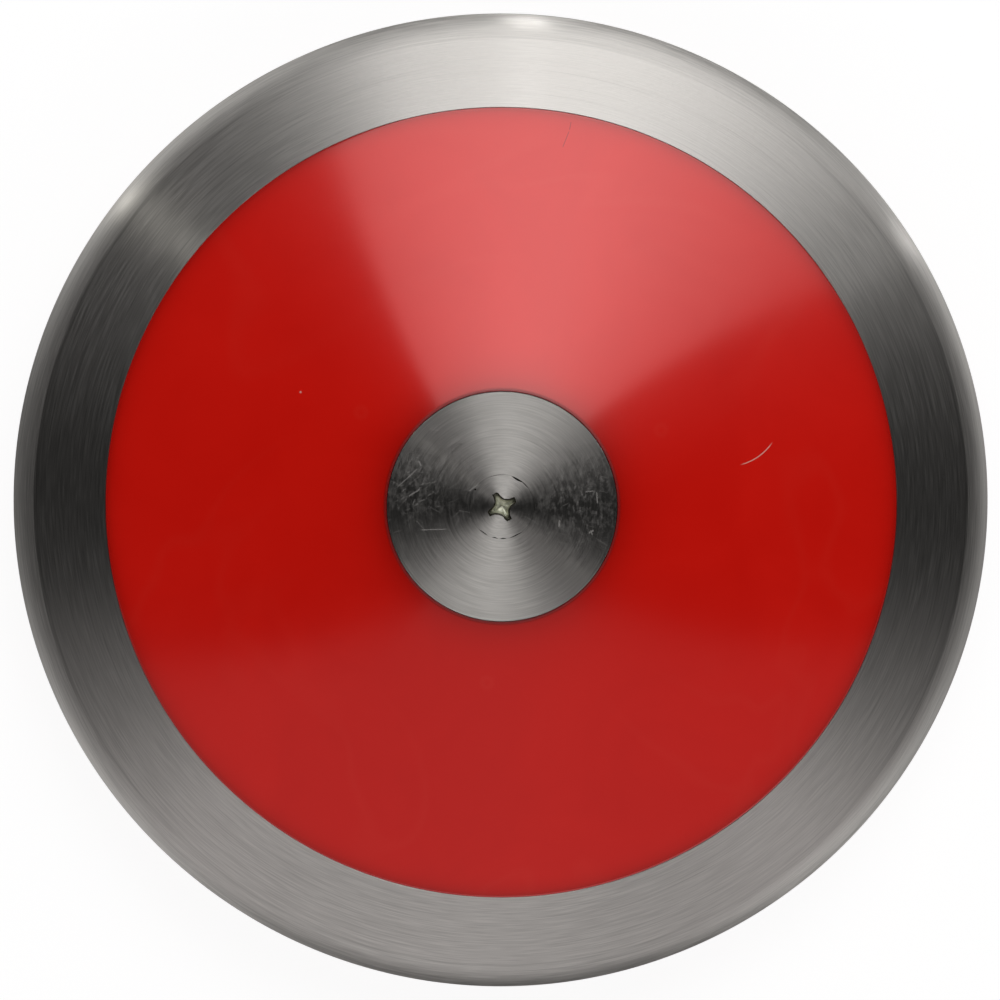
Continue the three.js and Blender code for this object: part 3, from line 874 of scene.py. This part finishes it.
def screw_steel():
    """The head is turned like the plate. Below it the zinc plating is left, dark where the cut tore it, with
    painted shade on the mouth's steep walls, in the wings' ends and at the middle.
    """
    s = Shader("plated_and_turned_screw_steel")
    color, roughness, metallic = worn_turned_steel(s)
    depth = face_depth(s)
    grain = s.noise(s.place, ZINC_GRAIN_SCALE, detail=3.0, roughness=0.6)
    zinc = s.mix(s.span(grain, *ZINC_GRAIN_RANGE), darker(ZINC, ZINC_DARK_SHARE), ZINC)
    torn_and_shaded_wall = s.span(s.math("MULTIPLY_ADD", grain, TORN_RAGGED, depth), *TORN_FOOT, 1.0, 0.0)
    wing_end = s.span(s.radius, *WING_END, 0.0, WING_END_PAINTED_SHADE)
    pit = s.span(s.radius, *RECESS_PIT, RECESS_PIT_PAINTED_SHADE, 0.0)
    burr_and_painted_shade = s.math("MAXIMUM", torn_and_shaded_wall, s.math("MAXIMUM", wing_end, pit))
    burr_and_painted_shade = s.math("MULTIPLY", burr_and_painted_shade, s.span(depth, *DARK_FOOT, 1.0, 0.0))
    below = s.span(depth, *FACE_SKIN)
    s.set(Base_Color=s.mix(below, color, s.mix(burr_and_painted_shade, zinc, BURR_AND_PAINTED_SHADE)))
    s.set(Metallic=s.math("MULTIPLY", metallic, s.span(below, 0.0, 1.0, 1.0, ZINC_METALLIC)))
    s.set(Roughness=roughness)
    return s.material


# Red plastic

DEEP_RED = rgb(0.88, 0.0100, 0.0045)
BRIGHT_RED = rgb(0.93, 0.0125, 0.0060)
PALE_RED = rgb(0.93, 0.030, 0.018)
SCRATCHED_RED = rgb(0.95, 0.45, 0.38)
CRACKED_RED = rgb(0.5, 0.004, 0.002)
RED_METALLIC = 0.07
RED_IOR = 1.61
RED_ROUGHNESS = (0.10, 0.13)
RED_BUMP = 0.0012 * MM
# Painted shade near the inner edge, near the outer edge and right at it, for light lost in the plastic
# there: the most, and how far it reaches
MOUTH_PAINTED_SHADE = (0.41, 4.0 * MM)
LIP_PAINTED_SHADE = (0.40, 1.7 * MM)
LIP_CORNER_PAINTED_SHADE = (0.25, 0.35 * MM)
# Grime and painted shade at the inner edge: distances from the edge where they fade, the darkness of the
# painted shade, and how much the grime dulls
GRIME_AND_SHADE_WIDTH = (0.25 * MM, 1.0 * MM)
SEAM_PAINTED_SHADE = 0.5
GRIME_ROUGHNESS_GAIN = 0.22
# Clouds of colour and flow lines: their fineness, the width of a line, and where the lines set in
CLOUD_SCALE = 28.0
FOLD_SCALE = 11.0
FLOW_WIDTH = 0.035
FLOW_START = (45 * MM, 70 * MM)
# Pale rings where the plastic entered the mould: their middles, radius and fading width
GATES = ((-3.3 * MM, -39.4 * MM), (-31.3 * MM, 20.9 * MM), (35.4 * MM, 16.9 * MM))
GATE_RADIUS = 1.1 * MM
GATE_WIDTH = (0.2 * MM, 0.9 * MM)
FLOW_PALENESS = 0.35
GATE_PALENESS = 0.6
PALE_SHARE = 0.5
# Marks of the upper side: start, end, half width and any sag of a line; middle and fading of the speck
RED_SCRATCHES = (((53.0 * MM, 9.0 * MM), (60.6 * MM, 14.2 * MM), 0.16 * MM, 0.9 * MM),)
RED_SPECK = ((-44.8 * MM, 25.3 * MM), 0.1 * MM, 0.35 * MM)
RED_HAIRLINE = (
    ((15.6 * MM, 85.6 * MM), (15.2 * MM, 83.6 * MM), 0.13 * MM),
    ((15.2 * MM, 83.6 * MM), (13.6 * MM, 79.6 * MM), 0.12 * MM),
)
# Fine relief: rings that set in towards the rim, and swirls all over
RING_SPACING = 0.5 * MM
RING_LENGTH = 45 * MM
RING_START = (60 * MM, 84 * MM)
RING_RELIEF = 0.5
SWIRL_SCALE = 60.0
SWIRL_RELIEF = 0.3
RELIEF_RANGE = (0.1, 0.5)


def painted_shade_left(s, distance, most, reach):
    """Painted shade: the share of the colour left at a distance from one of its edges."""
    fall = s.math("EXPONENT", s.math("DIVIDE", s.math("MAXIMUM", distance, 0.0), -reach))
    return s.math("MULTIPLY_ADD", fall, -most, 1.0)


def red_painted_shade(s, mouth, grime_and_shade):
    """Painted shade: the colour darkens towards both edges, where light entering the plastic is lost, and in
    the seam at the inner edge.
    """
    from_mouth = s.math("SUBTRACT", s.radius, mouth)
    from_lip = s.math("SUBTRACT", OUTER - RIM_WIDTH, s.radius)
    glow = s.math("MULTIPLY", painted_shade_left(s, from_mouth, *MOUTH_PAINTED_SHADE), painted_shade_left(s, from_lip, *LIP_PAINTED_SHADE))
    glow = s.math("MULTIPLY", glow, painted_shade_left(s, from_lip, *LIP_CORNER_PAINTED_SHADE))
    return s.math("MULTIPLY", glow, s.math("MULTIPLY_ADD", grime_and_shade, -SEAM_PAINTED_SHADE, 1.0))


def red_color(s):
    """The plastic's own colour, with faint flow lines and gate marks, a few scratches and a speck."""
    cloud = s.span(s.noise(s.place, CLOUD_SCALE, detail=3.0, distortion=1.2), *NOISE_RANGE)
    fold = s.noise(s.place, FOLD_SCALE, distortion=1.6)
    flow = s.span(s.off(fold, 0.5), 0.0, FLOW_WIDTH, 1.0, 0.0, smooth=True)
    flow = s.math("MULTIPLY", flow, s.span(s.radius, *FLOW_START))
    gates = [s.span(s.off(s.distance(gate), GATE_RADIUS), *GATE_WIDTH, 1.0, 0.0) for gate in GATES]
    gate_tone = s.math("MULTIPLY", s.add_all(gates), GATE_PALENESS)
    pale = s.add_all([s.math("MULTIPLY", flow, FLOW_PALENESS), gate_tone])
    color = s.mix(cloud, DEEP_RED, BRIGHT_RED)
    color = s.mix(s.math("MULTIPLY", pale, PALE_SHARE), color, PALE_RED)
    scratched = s.upper_only(s.math("MAXIMUM", s.scratches(RED_SCRATCHES), s.patch(*RED_SPECK)))
    color = s.mix(scratched, color, SCRATCHED_RED)
    return s.mix(s.upper_only(s.scratches(RED_HAIRLINE)), color, CRACKED_RED)


def red_plastic():
    """Glossy red plastic, dulled by grime at its inner edge, with painted shade towards both its edges and
    in the seam at the inner edge.
    """
    s = Shader("red_plastic")
    mouth = PLATE_RADIUS + SIDE_MOUTH_GAP
    grime_and_shade_start, grime_and_shade_end = (mouth + width for width in GRIME_AND_SHADE_WIDTH)
    grime_and_shade = s.span(s.radius, grime_and_shade_start, grime_and_shade_end, 1.0, 0.0, smooth=True)
    lines = s.math("MULTIPLY", s.rings(RING_SPACING, RING_LENGTH), s.span(s.radius, *RING_START))
    swirl = s.noise(s.place, SWIRL_SCALE, detail=4.0, roughness=0.7, distortion=4.0)
    relief = s.math("MULTIPLY_ADD", lines, RING_RELIEF, s.math("MULTIPLY", swirl, SWIRL_RELIEF))
    roughness = s.span(relief, *RELIEF_RANGE, *RED_ROUGHNESS)
    # The colour carries painted shade towards both edges and in the seam at the inner edge
    s.set(Base_Color=s.scaled(red_color(s), red_painted_shade(s, mouth, grime_and_shade)))
    s.set(Metallic=RED_METALLIC, IOR=RED_IOR)
    s.set(Roughness=s.math("MULTIPLY_ADD", grime_and_shade, GRIME_ROUGHNESS_GAIN, roughness))
    s.set(Normal=s.bump(relief, RED_BUMP))
    return s.material


# Plain steel and rubber

PLATED_STEEL = rgb(0.66, 0.63, 0.47)
PLATED_ROUGHNESS = 0.3
GROUND_STEEL = rgb(0.5, 0.5, 0.51)
GROUND_ROUGHNESS = 0.25
STEEL_GRAIN_SCALE = 900.0
STEEL_GRAIN_SPREAD = 0.15
DARK_RUBBER = rgb(0.014, 0.014, 0.015)
PALE_RUBBER = rgb(0.028, 0.028, 0.029)
RUBBER_ROUGHNESS = (0.7, 0.9)
RUBBER_GRAIN_SCALE = 1500.0


def plain_steel(name, color, roughness):
    s = Shader(name)
    grain = s.noise(s.place, STEEL_GRAIN_SCALE, detail=3.0)
    low, high = 1 - STEEL_GRAIN_SPREAD, 1 + STEEL_GRAIN_SPREAD
    s.set(Base_Color=s.mix(grain, darker(color, low), color))
    s.set(Metallic=1.0, Roughness=s.span(grain, *NOISE_RANGE, roughness * low, roughness * high))
    return s.material


def rubber():
    s = Shader("black_rubber")
    grain = s.noise(s.place, RUBBER_GRAIN_SCALE, detail=3.0)
    s.set(Base_Color=s.mix(grain, DARK_RUBBER, PALE_RUBBER))
    s.set(Roughness=s.span(grain, *NOISE_RANGE, *RUBBER_ROUGHNESS))
    return s.material


# Studio

# Camera: its distance, its two tilts in degrees, the point it aims at, and its scale at mid-height
CAMERA_DISTANCE = 1.3
CAMERA_TILT = 2.8
CAMERA_SIDEWAYS = 0.6
CAMERA_AIM = (-0.22 * MM, 0.40 * MM)
PIXELS_PER_METRE = 4427
IMAGE_WIDTH = 1000
SENSOR_WIDTH = 36
CAMERA_RANGE = (0.05, 20)


def make_camera():
    data = bpy.data.cameras.new("camera")
    data.sensor_width = SENSOR_WIDTH
    data.lens = data.sensor_width * PIXELS_PER_METRE * CAMERA_DISTANCE / IMAGE_WIDTH
    data.clip_start, data.clip_end = CAMERA_RANGE
    camera = bpy.data.objects.new("camera", data)
    bpy.context.scene.collection.objects.link(camera)
    sideways, tilt = math.radians(CAMERA_SIDEWAYS), math.radians(CAMERA_TILT)
    away = Vector((-math.sin(sideways), math.sin(tilt), 0))
    away.z = math.sqrt(1 - away.length_squared)
    camera.location = Vector((*CAMERA_AIM, MID)) + away * CAMERA_DISTANCE
    look = -away
    up = Vector((0, 1, 0)) - look * look.y
    up.normalize()
    right = look.cross(up)
    camera.rotation_euler = Matrix((right, up, -look)).transposed().to_euler()
    bpy.context.scene.camera = camera


WHITE = (1, 1, 1)
WARM_WHITE = (1.0, 0.99, 0.93)
CEILING = 1.0
SOFTBOX_LOW = (-0.236, 0.275)
SOFTBOX_HIGH = (0.64, 0.95)
# Brightness of the softbox along x, at its near and far side, and the depth of each of those sides
SOFTBOX_NEAR = (1.22, 1.59, 1.73, 1.71, 1.41, 1.06, 0.63, 0.21)
SOFTBOX_FAR = (2.28, 2.02, 1.75, 1.50, 1.21, 0.91, 0.62, 0.32)
SOFTBOX_SIDE = 0.15
# Card: its extent, its edge and the slant of that edge at both sides, and its brightness along x and inwards
CARD_LOW = (-0.9, -1.1)
CARD_HIGH = (0.9, -0.25)
CARD_EDGE = -0.421
CARD_BEND = 0.298
CARD_SLANT = 0.54
CARD_BLUR = 0.01
CARD_REACH = 0.45
CARD_NEAR = (0.27, 0.29, 0.19)
CARD_FAR = 1.84
CARD_FADE = (0.25, 0.6)
CARD_TINT = (1.0, 0.95, 0.965)
# Lamps: direction in degrees, angle from upright in degrees, size across, brightness, tint
LAMPS = (
    (142.3, 58, 0.05, 49.0, WARM_WHITE),
    (142.8, 86, 0.05, 80.0, WARM_WHITE),
    (86, 86, 0.12, 33.0, WHITE),
    (30.5, 86, 0.12, 16.0, WHITE),
)
LAMP_DISTANCE = 1.6
# Soft glows of the room: direction in degrees, angle from upright, half width, brightness
GLOWS = (
    (75, 36, 14, 1.61),
    (300, 56, 14, 0.27),
    (45, 62, 17, 0.76),
    (150, 62, 17, 0.22),
    (215, 62, 17, 0.27),
    (270, 62, 17, 0.24),
    (325, 62, 17, 0.20),
    (80, 86, 17, 1.15),
    (120, 86, 17, 0.64),
    (317, 86, 17, 0.83),
    (23, 112, 18, 1.34),
    (140, 112, 20, 1.06),
    (219, 112, 20, 1.17),
    (340, 112, 20, 0.48),
)
FLOOR_HALF_WIDTH = 6
FLOOR_GAP = 0.2 * MM
FLOOR_GREY = rgb(0.2, 0.2, 0.2)
FLOOR_GLOW = 0.9


def upward(direction, from_upright):
    """The direction at an angle round the discus and an angle from upright, in degrees."""
    turn, lean = math.radians(direction), math.radians(from_upright)
    return Vector((math.cos(turn) * math.sin(lean), math.sin(turn) * math.sin(lean), math.cos(lean)))


def area_light(name, shape, size, location, radiance, tint):
    data = bpy.data.lights.new(name, "AREA")
    data.shape = shape
    data.size, data.size_y = size
    share = math.pi / 4 if shape == "DISK" else 1
    data.energy = radiance * math.pi * size[0] * size[1] * share
    data.color = tint
    light = bpy.data.objects.new(name, data)
    bpy.context.scene.collection.objects.link(light)
    light.location = location
    light.visible_camera = False
    return light


def panel(name, low, high, tint):
    """A flat light under the ceiling, facing down, from its low corner to its high corner.

    Returns its nodes, and the x and y of the place on it that shines.
    """
    centre = ((low[0] + high[0]) / 2, (low[1] + high[1]) / 2, CEILING)
    light = area_light(name, "RECTANGLE", (high[0] - low[0], high[1] - low[1]), centre, 1.0, tint)
    light.data.use_nodes = True
    n = Nodes(light.data.node_tree)
    place = n.node("ShaderNodeNewGeometry").outputs["Position"]
    x, y, _ = n.node("ShaderNodeSeparateXYZ", {0: place}).outputs
    return n, x, y


def shine(n, brightness):
    n.join(brightness, n.tree.nodes["Emission"].inputs["Strength"])


def stepless(n, value, low, high, levels):
    """A value that passes through the levels in turn, evenly spaced between low and high."""
    total = levels[0]
    width = (high - low) / (len(levels) - 1)
    for k, (before, after) in enumerate(zip(levels, levels[1:])):
        rise = n.span(value, low + k * width, low + (k + 1) * width, 0.0, after - before)
        total = n.math("ADD", total, rise)
    return total


def make_softbox():
    n, x, y = panel("softbox", SOFTBOX_LOW, SOFTBOX_HIGH, WHITE)
    near = stepless(n, x, SOFTBOX_LOW[0], SOFTBOX_HIGH[0], SOFTBOX_NEAR)
    far = stepless(n, x, SOFTBOX_LOW[0], SOFTBOX_HIGH[0], SOFTBOX_FAR)
    share = n.span(y, SOFTBOX_LOW[1] + SOFTBOX_SIDE, SOFTBOX_HIGH[1] - SOFTBOX_SIDE)
    shine(n, n.math("MULTIPLY_ADD", share, n.math("SUBTRACT", far, near), near))


def make_card():
    """A pale card in front of the discus, whose edge bends towards the discus at both sides."""
    n, x, y = panel("front_card", CARD_LOW, CARD_HIGH, CARD_TINT)
    beyond = n.math("MAXIMUM", n.math("SUBTRACT", n.math("ABSOLUTE", x), CARD_BEND), 0.0)
    edge = n.math("MULTIPLY_ADD", beyond, CARD_SLANT, CARD_EDGE)
    inside = n.math("SUBTRACT", edge, y)
    mask = n.span(inside, -CARD_BLUR, CARD_BLUR)
    near = stepless(n, x, -CARD_REACH, CARD_REACH, CARD_NEAR)
    share = n.span(inside, *CARD_FADE)
    glow = n.math("MULTIPLY_ADD", share, n.math("SUBTRACT", CARD_FAR, near), near)
    shine(n, n.math("MULTIPLY", mask, glow))


def make_lamps():
    for k, (direction, from_upright, size, radiance, tint) in enumerate(LAMPS):
        away = upward(direction, from_upright)
        light = area_light(f"lamp_{k + 1}", "DISK", (size, size), away * LAMP_DISTANCE, radiance, tint)
        light.rotation_euler = away.to_track_quat("Z", "Y").to_euler()


def make_world():
    """A dim room with a few soft glows."""
    world = bpy.data.worlds.new("world")
    world.use_nodes = True
    n = Nodes(world.node_tree)
    direction = n.node("ShaderNodeTexCoord").outputs["Generated"]
    total = 0.0
    for turn, lean, half_width, radiance in GLOWS:
        sharpness = math.log(2) / (1 - math.cos(math.radians(half_width)))
        near = n.vector("DOT_PRODUCT", direction, tuple(upward(turn, lean)), output="Value")
        fall = n.math("EXPONENT", n.math("MULTIPLY_ADD", near, sharpness, -sharpness))
        total = n.math("MULTIPLY_ADD", fall, radiance, total)
    background = n.tree.nodes["Background"]
    n.join(total, background.inputs["Strength"])
    n.join(rgb(*WHITE), background.inputs["Color"])
    bpy.context.scene.world = world


def make_floor():
    bm = bmesh.new()
    bmesh.ops.create_grid(bm, x_segments=1, y_segments=1, size=FLOOR_HALF_WIDTH)
    floor = new_object("floor", bm)
    floor.location.z = -FLOOR_GAP
    s = Shader("pale_floor")
    s.set(Base_Color=FLOOR_GREY, Roughness=1.0, Specular_IOR_Level=0.0)
    s.set(Emission_Color=rgb(*WHITE), Emission_Strength=FLOOR_GLOW)
    floor.data.materials.append(s.material)
    floor.visible_glossy = False


# Assembly


def finish_piece(piece, node, material):
    piece.data.materials.clear()
    piece.data.materials.append(material)
    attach(piece, "root")
    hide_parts(node)


make_camera()
make_floor()
make_softbox()
make_card()
make_lamps()
make_world()
bpy.context.scene.view_settings.view_transform = "Standard"

rim_material = rim_steel()
plate_material = plate_steel()
screw_material = screw_steel()
red_material = red_plastic()
plated_material = plain_steel("plated_steel", PLATED_STEEL, PLATED_ROUGHNESS)
ground_material = plain_steel("ground_steel", GROUND_STEEL, GROUND_ROUGHNESS)
rubber_material = rubber()

finish_piece(make_rim(), "rim", rim_material)

upper_side = make_side_plate()
finish_piece(upper_side, "upper_side_plate", red_material)
lower_side = turn_over(upper_side, "lower_red_side_plate")
finish_piece(lower_side, "lower_side_plate", red_material)

upper_plate = make_centre_plate()
finish_piece(upper_plate, "upper_centre_plate", plate_material)
lower_plate = turn_over(upper_plate, "lower_steel_centre_plate")
finish_piece(lower_plate, "lower_centre_plate", plate_material)

upper_screw = make_screw("upper_steel_centre_screw", UPPER_RECESS_TURN)
finish_piece(upper_screw, "upper_centre_screw", screw_material)
spare_screw = make_screw("spare_screw", LOWER_RECESS_TURN)
lower_screw = turn_over(spare_screw, "lower_steel_centre_screw")
bpy.data.objects.remove(spare_screw)
finish_piece(lower_screw, "lower_centre_screw", screw_material)

for node_name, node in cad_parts.items():
    if node_name.startswith(("trim_washer", "centre_sleeve")):
        node.data.materials[0] = plated_material
    elif node_name.startswith("rim_dowel"):
        node.data.materials[0] = ground_material
    elif node_name.endswith(("seal_ring", "cushion_ring")):
        node.data.materials[0] = rubber_material
